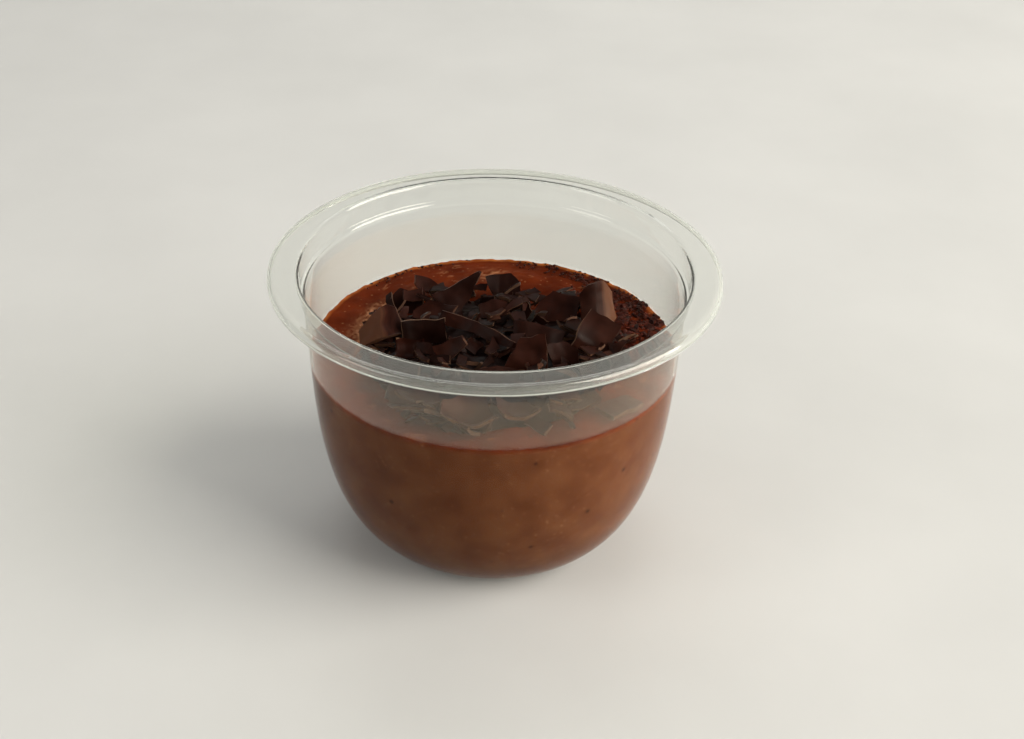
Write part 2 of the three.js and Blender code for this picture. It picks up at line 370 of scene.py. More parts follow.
def craters(count, seed):
    """(x, y, radius) of burst bubbles on the mousse, with a close group at the front."""
    chance = random.Random(seed)
    found = [(-16.3, -34.0, 0.8), (-14.4, -34.6, 1.0), (-13.4, -35.9, 0.7)]
    for _ in range(count):
        angle = chance.uniform(0, 2 * math.pi)
        reach = chance.uniform(26, 37)
        found.append((reach * math.cos(angle), reach * math.sin(angle), chance.choice((0.35, 0.45, 0.6))))
    return np.array(found) * MM


CRATERS = craters(40, seed=5)
CRATER_RIM, CRATER_RIM_WIDTH, CRATER_DEPTH = 0.22 * MM, 0.28, 0.25 * MM  # the width is a share of the radius
CLIMB_WIDTH, CLIMB_HEIGHT = 1.2 * MM, 0.18 * MM  # how the mousse climbs where it touches the wall


def mousse_top(x, y):
    """Height of the mousse's top at a place, in metres."""
    here = Vector((x, y, 0))
    lumps = 0.22 * MM * noise.noise(here / (3.5 * MM)) + 0.11 * MM * noise.noise(here / (1.1 * MM))
    height = FILL_LEVEL + slow_waves(x, y) + lumps
    away = np.hypot(CRATERS[:, 0] - x, CRATERS[:, 1] - y) / CRATERS[:, 2]
    for share in away[away < 1.6]:
        height += CRATER_RIM * math.exp(-((share - 1) / CRATER_RIM_WIDTH) ** 2)
        height -= CRATER_DEPTH * max(1 - share * share, 0)
    climb = max(math.hypot(x, y) - (EDGE_RADIUS - CLIMB_WIDTH), 0) / CLIMB_WIDTH
    ragged = 0.6 + 0.8 * noise.noise(Vector((x, y, 0.5)) / (1.1 * MM))
    return height + CLIMB_HEIGHT * climb ** 2 * ragged


print("top of the mousse at the middle, mm:", round(mousse_top(0, 0) / MM, 2))

# %% [markdown]
# ## Material of the mousse
#
# Aerated milk and cocoa is matt and a little translucent: light goes a millimetre in and comes out
# redder, which warms the thin edges. Slow noise gives the patches where more or less air was folded in,
# and fine bubbles against the wall show as pale specks about half a millimetre wide, painted glints,
# drawn a little coarser than the real ones so that they show. A few dark flecks are cocoa that didn't
# melt. Four attributes of the mesh add what depends on the place: `open_top` for the surface in the air,
# which is painted darker and redder than the side as painted shade, `smear_sheen` for the pale wet
# streaks near the heap, where the surface was touched, whose paleness is painted sheen, `dusted` for the
# fine dark dust of the grated chocolate, and `film_glow` for the thin edge that climbs the wall, painted
# with an orange glow of light coming through it.


# %% Tones of the mousse
def mousse_tone(material, place):
    """Patches about 7 mm wide, lighter or darker, in the tone of the side or in the darker, redder tone of
    the top, which is painted shade.
    """
    patches = add_node(material, "ShaderNodeTexNoise", {"Vector": place, "Scale": 1 / (7 * MM), "Detail": 7})
    patched = add_node(material, "ShaderNodeMapRange", {"Value": patches, **NOISE_SPAN})
    at_wall = add_node(
        material,
        "ShaderNodeMix",
        {"Factor": patched, 6: colour("#542d18"), 7: colour("#663e25")},
        data_type="RGBA",
    )
    # painted shade: the top gets a darker, redder tone than the side, as if less light fell on it
    in_air = add_node(
        material,
        "ShaderNodeMix",
        {"Factor": patched, 6: colour("#421505"), 7: colour("#61230a")},
        data_type="RGBA",
    )
    open_top = add_node(material, "ShaderNodeAttribute", {}, attribute_name="open_top").outputs["Fac"]
    return add_node(
        material, "ShaderNodeMix", {"Factor": open_top, 6: at_wall, 7: in_air}, data_type="RGBA"
    )


print("side tone in linear light:", [round(c, 3) for c in colour("#542d18")[:3]])


# %% Grain, bubbles and cocoa
def speckled(material, place, tone, grain):
    """The tone with half-millimetre grain, bubbles painted pale as glints, and dark cocoa flecks."""
    uneven = add_node(
        material, "ShaderNodeMapRange", {"Value": grain, **NOISE_SPAN, "To Min": 0.95, "To Max": 1.05}
    )
    grained = add_node(material, "ShaderNodeVectorMath", {0: tone, "Scale": uneven}, operation="SCALE")
    bubbles = add_node(material, "ShaderNodeTexVoronoi", {"Vector": place, "Scale": 1 / (1.7 * MM)})
    # painted highlight: the pale specks on the bubbles stand in for their glints
    on_bubble_glint = add_node(
        material,
        "ShaderNodeMapRange",
        {"Value": bubbles.outputs["Distance"], "From Min": 0.2, "From Max": 0.1, "To Max": 0.32},
    )
    with_bubble_glints = add_node(
        material,
        "ShaderNodeMix",
        {"Factor": on_bubble_glint, 6: grained, 7: colour("#94684a")},
        data_type="RGBA",
    )
    cocoa = add_node(material, "ShaderNodeTexVoronoi", {"Vector": place, "Scale": 1 / (6 * MM)})
    on_cocoa = add_node(
        material,
        "ShaderNodeMapRange",
        {"Value": cocoa.outputs["Distance"], "From Min": 0.11, "From Max": 0.07, "To Max": 0.7},
    )
    return add_node(
        material,
        "ShaderNodeMix",
        {"Factor": on_cocoa, 6: with_bubble_glints, 7: colour("#2a120b")},
        data_type="RGBA",
    )


print("a bubble is", round(2 * 0.2 * 1.7, 1), "mm wide, a cocoa fleck", round(2 * 0.11 * 6, 1), "mm at most")


# %% What the attributes add
def covered(material, base):
    """The base under dust, under the smear's painted sheen and under the film's painted orange glow, each as
    strong as the mesh's attribute says.
    """
    # dust is the crumbs' own colour; the smear's paleness is painted sheen, and the film's orange is painted
    # glow
    for name, tint in (("dusted", "#2b0f08"), ("smear_sheen", "#a87452"), ("film_glow", "#a9602f")):
        thickness = add_node(material, "ShaderNodeAttribute", {}, attribute_name=name).outputs["Fac"]
        base = add_node(
            material, "ShaderNodeMix", {"Factor": thickness, 6: base, 7: colour(tint)}, data_type="RGBA"
        )
    return base


print("film tint in linear light:", [round(c, 3) for c in colour("#a9602f")[:3]])


# %% Material: aerated chocolate mousse
def aerated_mousse():
    """A matt, slightly translucent body in the colours above, with a grain that is felt in the light."""
    material = new_material("aerated_chocolate_mousse")
    place = add_node(material, "ShaderNodeTexCoord", {}).outputs["Object"]
    grain = add_node(material, "ShaderNodeTexNoise", {"Vector": place, "Scale": 1 / (0.5 * MM), "Detail": 2})
    finished = covered(material, speckled(material, place, mousse_tone(material, place), grain))
    bump = add_node(
        material, "ShaderNodeBump", {"Height": grain, "Strength": 0.25, "Distance": 0.05 * MM}
    )
    body = add_node(
        material,
        "ShaderNodeBsdfPrincipled",
        {
            "Base Color": finished,
            "Roughness": 0.55,
            "IOR": 1.45,
            "Specular IOR Level": 0.02,
            "Subsurface Weight": 0.15,
            "Subsurface Radius": (1.0, 0.35, 0.15),
            "Subsurface Scale": 0.8 * MM,
            "Normal": bump,
        },
    )
    add_node(material, "ShaderNodeOutputMaterial", {"Surface": body})
    return material


MOUSSE = aerated_mousse()
print("nodes in the mousse:", len(MOUSSE.node_tree.nodes))


# %% Streaks
# Where the mousse was touched beside the heap: the middle and half spread of its angle in degrees, the same
# of its distance from the axis in mm, and how strong it is. One lies at the left, one at the back.
TOUCHED = [(158, 26, 30, 2.0, 1.0), (91, 7, 32, 2.5, 0.6)]


def smear_sheen_at(x, y):
    """From 0 to 1: how much pale wet smear lies at a place, painted sheen where the mousse was touched, and
    a painted highlight on the rim of a burst bubble.
    """
    angle, reach = math.degrees(math.atan2(y, x)) % 360, math.hypot(x, y)
    touched = 0
    for middle, spread, out, width, strength in TOUCHED:
        near = math.exp(-((angle - middle) / spread) ** 2) * math.exp(-((reach / MM - out) / width) ** 2)
        touched += strength * near
    streaks = 0.5 + 1.1 * noise.noise(Vector((reach / (0.9 * MM), angle / 7, 0)))
    dabs = 0.4 + 2.2 * noise.noise(Vector((x, y, 0)) / (0.9 * MM))
    away = np.hypot(CRATERS[:, 0] - x, CRATERS[:, 1] - y) / CRATERS[:, 2]
    # painted highlight on the raised rims of burst bubbles
    bubble_rims = 0.35 * math.exp(-float(np.min(np.abs(away - 1)) / 0.25) ** 2)
    return min(max(touched * (0.2 + streaks * dabs) * 1.2, bubble_rims, 0), 1)


print("smear left of the heap:", round(smear_sheen_at(-28 * MM, 12 * MM), 2))


# %% Dust and film
def crumb_density(x, y):
    """From 0 to 1: how thick the crumbs lie at a place on the mousse.

    The angles are degrees from the right towards the back, and the reach is a share of the radius."""
    angle = math.degrees(math.atan2(y, x))
    reach = math.hypot(x, y) / EDGE_RADIUS
    clumps = 0.5 + 1.1 * noise.noise(Vector((x, y, 11)) / (2.4 * MM))
    right = min(1.5 * max(0, 1 - abs(angle - 24) / 34), 1) * min(max((reach - 0.62) / 0.15, 0), 1)
    back = max(0, 1 - abs(angle - 62) / 24) * min(max((reach - 0.9) / 0.05, 0), 1)
    left_back = 0.25 * max(0, 1 - abs(angle - 122) / 30) * max(0, (reach - 0.95) / 0.05)
    left = 0.1 * max(0, 1 - abs(abs(angle) - 172) / 20) * max(0, 1 - abs(reach - 0.68) / 0.08)
    return min(max((1.6 * right + 1.5 * back) * clumps + left_back + left, 0), 1)


def dust_at(x, y):
    """From 0 to 1: how much fine dust lies between the crumbs."""
    return 0.8 * crumb_density(x, y)


def film_glow_at(x, y):
    """From 0 to 1: how strong the painted orange glow is on the thin mousse that climbs the wall, more at
    the back, where light comes through it.
    """
    width = 0.45 * MM
    share = (math.hypot(x, y) - (EDGE_RADIUS - width)) / width
    # the painted glow is stronger at the back, where light comes through the thin mousse towards the camera
    at_back = 0.45 + 0.5 * y / EDGE_RADIUS
    ragged = 0.7 + 0.6 * noise.noise(Vector((x, y, 7)) / (2.5 * MM))
    return min(max(share, 0), 1) * max(at_back, 0) * ragged


print("crumbs on the right:", round(crumb_density(32 * MM, 12 * MM), 2))


# %% Make the mousse
def store(mesh, name, values, kind="FLOAT", domain="POINT"):
    """Writes a number or a vector for each vertex or face as an attribute, which materials can read."""
    attribute = mesh.attributes.new(name, kind, domain)
    field = "vector" if kind == "FLOAT_VECTOR" else "value"
    attribute.data.foreach_set(field, np.array(values, np.float32).ravel())


def make_mousse():
    """The side follows the wall, and the top is a net of rings lifted by its height function."""
    into_the_wall = 0.2 * MM
    wall = beside(middle_line, SHEET / 2 - into_the_wall)
    side = wall[wall[:, 1] < FILL_LEVEL]
    upper = wall[len(side)]
    share = (FILL_LEVEL - side[-1, 1]) / (upper[1] - side[-1, 1])
    rim = side[-1] * (1 - share) + upper * share
    rings, steps = 110, 320
    top = [(rim[0] * (1 - (i / rings)), FILL_LEVEL) for i in range(1, rings + 1)]
    outline = np.vstack([side, rim, top])
    vertices, faces = turned(outline, steps)
    upwards = [z > FILL_LEVEL - 0.01 * MM for _, _, z in vertices]
    vertices = [(x, y, mousse_top(x, y) if up else z) for (x, y, z), up in zip(vertices, upwards)]
    mousse = mesh_object("mousse_body", vertices, faces, MOUSSE)
    store(mousse.data, "open_top", upwards)
    for name, share_at in (("smear_sheen", smear_sheen_at), ("dusted", dust_at), ("film_glow", film_glow_at)):
        shares = [share_at(x, y) if up else 0.0 for (x, y, _), up in zip(vertices, upwards)]
        store(mousse.data, name, shares)
    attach(mousse, "root")
    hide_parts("mousse")
    return mousse


mousse = make_mousse()
print("mousse:", len(mousse.data.polygons), "faces")

# %% [markdown]
# ## Dark chocolate
#
# The shavings are dark chocolate, scraped off a block with a blade. The scraped face is satin with fine
# parallel scratches, the outer face is smoother, and a broken edge is matt; the edges are painted paler,
# a painted highlight, so thin light lines outline the plates. The scratches follow the length of each
# plate, so each plate carries its own coordinates in an attribute: millimetres along it, across it, and a
# number that shifts its tone, partly the plate's own tone and partly painted light and shade.


# %% Tone of a shaving
def shaving_tone(material, scratches, clouded, own):
    """Clouds and scratches over the base tone, then each plate's number from nearly black to milky, which is
    partly its own tone and partly painted light and shade.
    """
    tone = add_node(
        material,
        "ShaderNodeMix",
        {"Factor": clouded, 6: colour("#1b0905"), 7: colour("#2f140c")},
        data_type="RGBA",
    )
    brighter = add_node(
        material, "ShaderNodeMapRange", {"Value": scratches, **NOISE_SPAN, "To Min": 0.94, "To Max": 1.08}
    )
    scraped = add_node(material, "ShaderNodeVectorMath", {0: tone, "Scale": brighter}, operation="SCALE")
    own_tone = add_node(
        material,
        "ShaderNodeMapRange",
        {"Value": own, "From Min": 0.0, "From Max": 100.0, "To Min": 0.35, "To Max": 1.6},
    )
    toned = add_node(material, "ShaderNodeVectorMath", {0: scraped, "Scale": own_tone}, operation="SCALE")
    # the milky end carries painted light too: the lit side beyond a ridge and the pale glints among the
    # small plates
    milky_and_painted_light = add_node(
        material, "ShaderNodeMapRange", {"Value": own, "From Min": 70.0, "From Max": 100.0}
    )
    return add_node(
        material, "ShaderNodeMix", {"Factor": milky_and_painted_light, 6: toned, 7: colour("#5f3e2d")}, data_type="RGBA"
    )


print("dark chocolate in linear light:", [round(c, 4) for c in colour("#1b0905")[:3]])


# %% Material: shaved dark chocolate
def shaved_chocolate():
    """Scratches half a millimetre apart run along the plate, and soft clouds make some parts glossier."""
    material = new_material("shaved_dark_chocolate")
    along = add_node(material, "ShaderNodeAttribute", {}, attribute_name="plate_mm").outputs["Vector"]
    edge = add_node(material, "ShaderNodeAttribute", {}, attribute_name="edge_highlight").outputs["Fac"]
    own = add_node(material, "ShaderNodeSeparateXYZ", {"Vector": along}).outputs["Z"]
    lengthwise = add_node(material, "ShaderNodeMapping", {"Vector": along, "Scale": (0.15, 1.0, 1.0)})
    scratches = add_node(
        material, "ShaderNodeTexNoise", {"Vector": lengthwise, "Scale": 2.2, "Detail": 3}
    )
    cloud = add_node(material, "ShaderNodeTexNoise", {"Vector": along, "Scale": 0.22, "Detail": 2})
    clouded = add_node(material, "ShaderNodeMapRange", {"Value": cloud, **NOISE_SPAN})
    tone = shaving_tone(material, scratches, clouded, own)
    # painted highlight: the edges are mixed towards a pale brown, as light caught on them
    with_edge_highlight = add_node(
        material, "ShaderNodeMix", {"Factor": edge, 6: tone, 7: colour("#8c6b55")}, data_type="RGBA"
    )
    satin = add_node(
        material,
        "ShaderNodeMapRange",
        {"Value": cloud, "From Min": 0.35, "From Max": 0.65, "To Min": 0.32, "To Max": 0.6},
    )
    bump = add_node(
        material, "ShaderNodeBump", {"Height": scratches, "Strength": 0.25, "Distance": 0.1 * MM}
    )
    body = add_node(
        material,
        "ShaderNodeBsdfPrincipled",
        {
            "Base Color": with_edge_highlight,
            "Roughness": satin,
            "IOR": 1.45,
            "Specular IOR Level": 0.08,
            "Normal": bump,
        },
    )
    add_node(material, "ShaderNodeOutputMaterial", {"Surface": body})
    return material


CHOCOLATE = shaved_chocolate()
print("nodes in the chocolate:", len(CHOCOLATE.node_tree.nodes))

# %% [markdown]
# ## The large shavings
#
# Each large shaving is a curved plate with snapped corners. Its CAD solid gives the place, the curl and
# the size. A copy of it is cut by a few planes, as a plate snaps, then subdivided so that the curl is
# smooth, and rippled by the chatter of the blade. The principal axes of the corner points say which way
# each plate is long and thin.


# %% Axes and coordinates of a plate
def plate_axes(points):
    """Centre of a plate, and unit vectors along its length, across it and through it."""
    centre = points.mean(axis=0)
    _, _, axes = np.linalg.svd(points - centre, full_matrices=False)
    return centre, axes


def outer_side(axes):
    """The direction through a plate that looks up and to the front."""
    return Vector(axes[2]) if axes[2][2] - axes[2][1] > 0 else -Vector(axes[2])


def store_plate(mesh, centre, axes, tone, highlight_strength):
    """Writes what the chocolate material reads. The tone can be one for all corners, or a list."""
    edge_facing = 0.35  # a face that is turned less than this towards the thickness is a broken edge
    points = np.array([v.co for v in mesh.vertices])
    local = (points - centre) @ axes.T / MM
    local[:, 2] = tone
    store(mesh, "plate_mm", local, "FLOAT_VECTOR")
    thin = Vector(axes[2])
    # faces that look along the plate get the painted edge highlight
    sides = [highlight_strength if abs(face.normal.dot(thin)) < edge_facing else 0.0 for face in mesh.polygons]
    store(mesh, "edge_highlight", sides, domain="FACE")


flat_plate = np.array([(0, 0, 0), (4, 0, 0), (4, 2, 0), (0, 2, 0)])
print("axes of a flat plate:", plate_axes(flat_plate)[1].tolist())


# %% Snap one plate
# Where each plate is snapped. The angle is the way that the lost corner lay, seen from the plate's outer
# face: 0 is right and 90 is up. The share says how far out the break is, from the middle to the rim.
SNAPS = {
    "02": [(140, 0.62), (230, 0.75)],
    "03": [(50, 0.7), (215, 0.65)],
    "04": [(128, 0.45), (20, 0.85)],
    "05": [(300, 0.85)],
    "06": [(125, 0.6), (330, 0.7)],
    "08": [(215, 0.7)],
    "10": [(120, 0.6), (300, 0.8)],
    "11": [(205, 0.62), (40, 0.72)],
    "12": [(140, 0.6)],
    "14": [(262, 0.85)],
    "16": [(152, 0.42)],
    "17": [(60, 0.7), (200, 0.75)],
    "18": [(60, 0.65), (250, 0.7)],
    "19": [(110, 0.62), (335, 0.7)],
    "20": [(45, 0.7), (190, 0.7)],
    "22": [(125, 0.7), (20, 0.75)],
    "23": [(35, 0.6), (200, 0.75)],
    "24": [(120, 0.75)],
}


def snap(shape, points, thin, angle, share):
    """Cuts a plate by a plane that stands across its face, and closes the cut."""
    right = Vector((1, 0, 0)) - thin * thin.x
    right.normalize()
    way = right * math.cos(math.radians(angle)) + thin.cross(right) * math.sin(math.radians(angle))
    centre = sum(points, Vector()) / len(points)
    reach = max((point - centre).dot(way) for point in points)
    whole = shape.verts[:] + shape.edges[:] + shape.faces[:]
    cut = centre + way * reach * share
    bmesh.ops.bisect_plane(shape, geom=whole, plane_co=cut, plane_no=way, clear_outer=True)
    bmesh.ops.holes_fill(shape, edges=[edge for edge in shape.edges if edge.is_boundary], sides=0)


print(len(SNAPS), "plates are snapped,", sum(len(snaps) for snaps in SNAPS.values()), "snaps in all")


# %% Smooth one plate
SHARP = math.radians(40)  # edges that turn more than this stay sharp
SUBDIVISIONS = 3


def refined(mesh, levels):
    """The mesh subdivided, with its sharp edges kept as creases."""
    thing = bpy.data.objects.new("refining", mesh)
    bpy.context.scene.collection.objects.link(thing)
    smooth = thing.modifiers.new("smooth", "SUBSURF")
    smooth.levels = smooth.render_levels = levels
    bpy.context.view_layer.update()
    fine = bpy.data.meshes.new_from_object(thing.evaluated_get(bpy.context.evaluated_depsgraph_get()))
    bpy.data.objects.remove(thing)
    return fine


print("one face becomes", 4 ** SUBDIVISIONS)


# %% Ripple one plate
# Plates with a ridge along them: how far right of the middle it runs in mm, its slope, the tone beyond it.
# On 13 the lighter tone beyond the ridge is painted light, for the side that faces the key lamp.
RIDGES = {"13": (-0.8, 0.3, 90), "04": (1.2, 0.5, 40)}
CUPPED = {"21": 1.6, "22": 2.0, "23": 1.5, "07": 1.2}  # plates whose rim curls up like a shell's, in mm


def ripple_plate(mesh, centre, axes, number, ridge, cup):
    """Blade chatter, a rim that is not quite straight, and for some plates a ridge or a shell's curl.

    Gives back how far each vertex lies beyond the ridge, from 0 to 1."""
    ridge_blend = 2.5  # mm over which the tone changes beyond a ridge
    warp_height, chatter_height, wander_width = 0.9, 0.1, 0.5  # mm
    shift = Vector((number * 3.1, 0, 0))
    half_sizes = np.abs([axes @ (np.array(vertex.co) - centre) for vertex in mesh.vertices]).max(axis=0)
    past_ridge = []
    rightmost = max((0, 1), key=lambda i: abs(axes[i][0]))
    facing = outer_side(axes)
    for vertex in mesh.vertices:
        local = axes @ (np.array(vertex.co) - centre) / MM
        beyond = local[rightmost] * math.copysign(1, axes[rightmost][0]) - ridge[0]
        past_ridge.append(min(max(beyond / ridge_blend, 0), 1) if ridge[1] > 0 else 0)
        vertex.co -= facing * max(beyond, 0) * ridge[1] * MM
        outwards = math.hypot(local[0] * MM / half_sizes[0], local[1] * MM / half_sizes[1])
        vertex.co += facing * cup * outwards ** 2.5 * MM
        warp = warp_height * noise.noise(Vector((local[0] * 0.16, local[1] * 0.16, 5)) + shift)
        fine = chatter_height * noise.noise(Vector((local[0] * 0.7, local[1] * 0.12, 0)) + shift)
        wander = noise.noise_vector(Vector(local * 0.35) + shift) * wander_width
        vertex.co += Vector(axes[2]) * (warp + fine) * MM
        vertex.co += (Vector(axes[0]) * wander.x + Vector(axes[1]) * wander.y) * MM
    return past_ridge


print("ridged:", sorted(RIDGES), "cupped:", sorted(CUPPED))


# %% Make the large shavings
# How light each plate is, from 0 for nearly black to 100 for milky, partly its own tone and partly painted
# light: 05 at 0 is painted shade on a plate that faces the camera in shadow, and 21 to 24, seen through the
# front wall, get lighter tones as painted highlight. The others get one from their order.
PLATE_TONES_AND_PAINTED_LIGHT = {
    "01": 25, "03": 65, "04": 86, "05": 0, "06": 60, "07": 60, "08": 68, "09": 45, "11": 15, "13": 45,
    "14": 55, "21": 64, "22": 73, "23": 66, "24": 70,
}
EDGE_HIGHLIGHT_STRENGTH = 0.16  # how strong the painted edge highlight is, and the plates where it is stronger
STRONGER_EDGE_HIGHLIGHTS = {"05": 0.4, "07": 0.5, "12": 0.5, "14": 0.6, "21": 0.3, "22": 0.3, "23": 0.25, "24": 0.2}


def large_shaving(node, order):
    """A snapped, subdivided and rippled copy of one CAD shaving, which it replaces."""
    number = node[-2:]
    shape = bmesh.new()
    shape.from_mesh(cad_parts[node].data)
    bmesh.ops.remove_doubles(shape, verts=shape.verts[:], dist=0.02 * MM)
    bmesh.ops.join_triangles(
        shape,
        faces=shape.faces[:],
        angle_face_threshold=math.radians(25),
        angle_shape_threshold=math.radians(60),
    )
    corners = [vertex.co.copy() for vertex in shape.verts]
    centre, axes = plate_axes(np.array(corners))
    for angle, share in SNAPS.get(number, []):
        snap(shape, corners, outer_side(axes), angle, share)
    creases = shape.edges.layers.float.new("crease_edge")
    for edge in shape.edges:
        edge[creases] = 1.0 if edge.calc_face_angle(0) > SHARP else 0.0
    name = "large_shaving_" + number
    rough = bpy.data.meshes.new(name)
    shape.to_mesh(rough)
    shape.free()
    mesh = refined(rough, SUBDIVISIONS)
    ridge = RIDGES.get(number, (0, 0, 0))
    past_ridge = ripple_plate(mesh, centre, axes, order, ridge, CUPPED.get(number, 0))
    mesh.materials.clear()
    mesh.materials.append(CHOCOLATE)
    mesh.shade_smooth()
    mesh.set_sharp_from_angle(angle=SHARP)
    tone = PLATE_TONES_AND_PAINTED_LIGHT.get(number, 20 + (order * 37) % 50)
    # beyond a ridge the tone changes; on 13 that lighter side is painted light
    tones = [tone + (ridge[2] - tone) * past for past in past_ridge]
    store_plate(mesh, centre, axes, tones, STRONGER_EDGE_HIGHLIGHTS.get(number, EDGE_HIGHLIGHT_STRENGTH))
    plate = bpy.data.objects.new(name, mesh)
    bpy.context.scene.collection.objects.link(plate)
    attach(plate, "root")
    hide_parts(node)
    return plate


large_nodes = sorted(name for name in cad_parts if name.startswith("shaving_"))
large = [large_shaving(node, i + 1) for i, node in enumerate(large_nodes)]
print(len(large), "large shavings,", sum(len(plate.data.polygons) for plate in large), "faces")

# %% [markdown]
# ## The core of the heap
#
# A heap of shavings is mostly shadow between plates. A dark lumpy mound, a little smaller than the CAD
# heap, fills the gaps, so that no light shows through, and the small shavings are dropped on it. It is
# painted nearly black, as painted shade for the depth of the heap.


# %% Shape of the core
HEAP_CENTRE = Vector((0, -4.5 * MM, 0))
CORE_SHARE = 0.93  # how far the core reaches towards the outline of the CAD heap


def heap_reach(angle):
    """How far the heap reaches from its centre in a direction, as the CAD heap does."""
    lobes = 1.3 * math.sin(3 * angle + 0.5) + 0.8 * math.sin(7 * angle + 2)
    return (27.5 + lobes - 1.4 * math.sin(angle)) * MM


def core_height(x, y):
    """Height of the dark core at a place, or of the mousse outside it."""
    across = Vector((x, y, 0)) - HEAP_CENTRE
    share = across.length / (heap_reach(math.atan2(across.y, across.x)) * CORE_SHARE)
    if share >= 1:
        return mousse_top(x, y)
    mound = 2.5 * MM * (1 - share ** 2.2)
    lumps = 0.9 * MM * noise.noise(Vector((x, y, 3)) / (2.6 * MM)) * (1 - share ** 4)
    return mousse_top(x, y) + mound + lumps


print("top of the CAD heap and of the core, mm:", [
    round(height / MM, 1) for height in (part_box("shavings_heap")[1].z, core_height(*HEAP_CENTRE.xy))
])


# %% Make the core
def make_core():
    """A closed mound: a net of rings on the core's height, and the same net just inside the mousse."""
    rings, steps, buried = 44, 120, 0.3 * MM
    outline = [(0, -1)] + [(i / rings, -1) for i in range(1, rings + 1)]
    outline += [(i / rings, 1) for i in range(rings, 0, -1)] + [(0, 1)]
    vertices, faces = turned(np.array(outline, float), steps)
    placed = []
    for x, y, z in vertices:
        reach = heap_reach(math.atan2(y, x)) * CORE_SHARE
        px, py = HEAP_CENTRE.x + x * reach, HEAP_CENTRE.y + y * reach
        placed.append((px, py, core_height(px, py) if z > 0 else mousse_top(px, py) - buried))
    core = mesh_object("heap_core", placed, faces, CHOCOLATE)
    # tone 0, nearly black: painted shade for the depth of the heap, with no painted edge highlight
    store_plate(core.data, np.zeros(3), np.eye(3), 0.0, 0.0)
    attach(core, "root")
    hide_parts("shavings_heap")
    return core


core = make_core()
print("core:", len(core.data.polygons), "faces")

# %% [markdown]
# ## The small shavings
#
# The heap's small plates are made one by one with random sizes and curls, and each is dropped straight
# down until it meets what is already there. Rays from its corners find how far it can fall, so the plates
# lie on each other and hardly cut through. They end up as one joined mesh.


# %% One small plate
def small_plate(chance, length, width, thickness):
    """Vertices and faces of a curved plate with slanted ends, lying flat, in metres."""
    u_steps, v_steps, taper = 6, 3, 0.6
    bend = math.radians(chance.uniform(8, 65)) * chance.choice((-1, 1))
    radius = length / bend
    narrow = chance.uniform(0, 0.75)
    slants = chance.uniform(-0.6, 0.6), chance.uniform(-0.6, 0.6)
    jag = [chance.uniform(0.8, 1.08) for _ in range(2 * (u_steps + 1))]
    vertices = []
    for side in (-1, 1):
        for i in range(u_steps + 1):
            for j in range(v_steps + 1):
                u, v = i / u_steps - 0.5, j / v_steps - 0.5
                rim = jag[i] if v < 0 else jag[i + u_steps + 1]
                across = v * width * (1 - narrow * (u + 0.5)) * rim
                slant = slants[0] * (0.5 - u) + slants[1] * (0.5 + u)
                arc = (u * length + across * slant) / radius
                thick = thickness * (1 - taper * (v + 0.5))
                r = radius - side * thick / 2
                vertices.append((r * math.sin(arc), across, radius - r * math.cos(arc)))
    row = v_steps + 1
    layer = (u_steps + 1) * row
    faces = []
    for i in range(u_steps):
        for j in range(v_steps):
            a, b, c, d = i * row + j, (i + 1) * row + j, (i + 1) * row + j + 1, i * row + j + 1
            faces.append((a, d, c, b))
            faces.append((layer + a, layer + b, layer + c, layer + d))
    rim = [i * row for i in range(u_steps + 1)]
    rim += [u_steps * row + j for j in range(1, row)]
    rim += [i * row + v_steps for i in range(u_steps - 1, -1, -1)]
    rim += [j for j in range(v_steps - 1, 0, -1)]
    for a, b in zip(rim, rim[1:] + rim[:1]):
        faces.append((a, b, layer + b, layer + a))
    return np.array(vertices), faces


print("corners of a small plate:", len(small_plate(random.Random(1), 5 * MM, 3 * MM, 0.5 * MM)[0]))


# %% Dropping and joining parts
def merged(parts):
    """The vertices and the faces of several (vertices, faces) parts in one list each."""
    vertices, faces = [], []
    for points, polygons in parts:
        start = len(vertices)
        vertices += [tuple(p) for p in points]
        faces += [tuple(start + i for i in polygon) for polygon in polygons]
    return vertices, faces


def tree_of(parts):
    """A search tree over several parts, for rays and overlaps."""
    return BVHTree.FromPolygons(*merged(parts))


def mesh_part(thing):
    """An object's mesh as a (vertices, faces) part."""
    mesh = thing.data
    return [tuple(v.co) for v in mesh.vertices], [tuple(p.vertices) for p in mesh.polygons]


def drop(points, trees, sink):
    """How far down the points can move, until one of them has sunk a little into a tree."""
    fall = math.inf
    for point in points:
        start = Vector(point)
        for tree in trees:
            hit = tree.ray_cast(start, Vector((0, 0, -1)))
            if hit[0] is not None:
                fall = min(fall, hit[3])
    return fall + sink


def joined(name, parts, material, tones):
    """One object from many parts. Each part gets its own axes and tone, and its edges their painted
    highlight.
    """
    edge_facing = 0.45  # wider than for the large plates, as the small ones curl more
    local, sides = [], []
    for (points, polygons), tone in zip(parts, tones):
        centre, axes = plate_axes(points)
        own = (points - centre) @ axes.T / MM
        own[:, 2] = tone
        local.append(own)
        corners = [points[list(polygon)] for polygon in polygons]
        normals = np.array([np.cross(c[2] - c[0], c[-1] - c[1]) for c in corners])
        normals /= np.linalg.norm(normals, axis=1)[:, None] + 1e-12
        sides.append((np.abs(normals @ axes[2]) < edge_facing) * EDGE_HIGHLIGHT_STRENGTH)
    thing = mesh_object(name, *merged(parts), material)
    store(thing.data, "plate_mm", np.vstack(local), "FLOAT_VECTOR")
    store(thing.data, "edge_highlight", np.concatenate(sides), domain="FACE")
    thing.data.set_sharp_from_angle(angle=SHARP)
    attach(thing, "root")
    return thing


fall_to_core = drop([(0, 0, 60 * MM)], [tree_of([mesh_part(core)])], 0)
print("from 60 mm up a point falls", round(fall_to_core / MM, 1), "mm to the core")


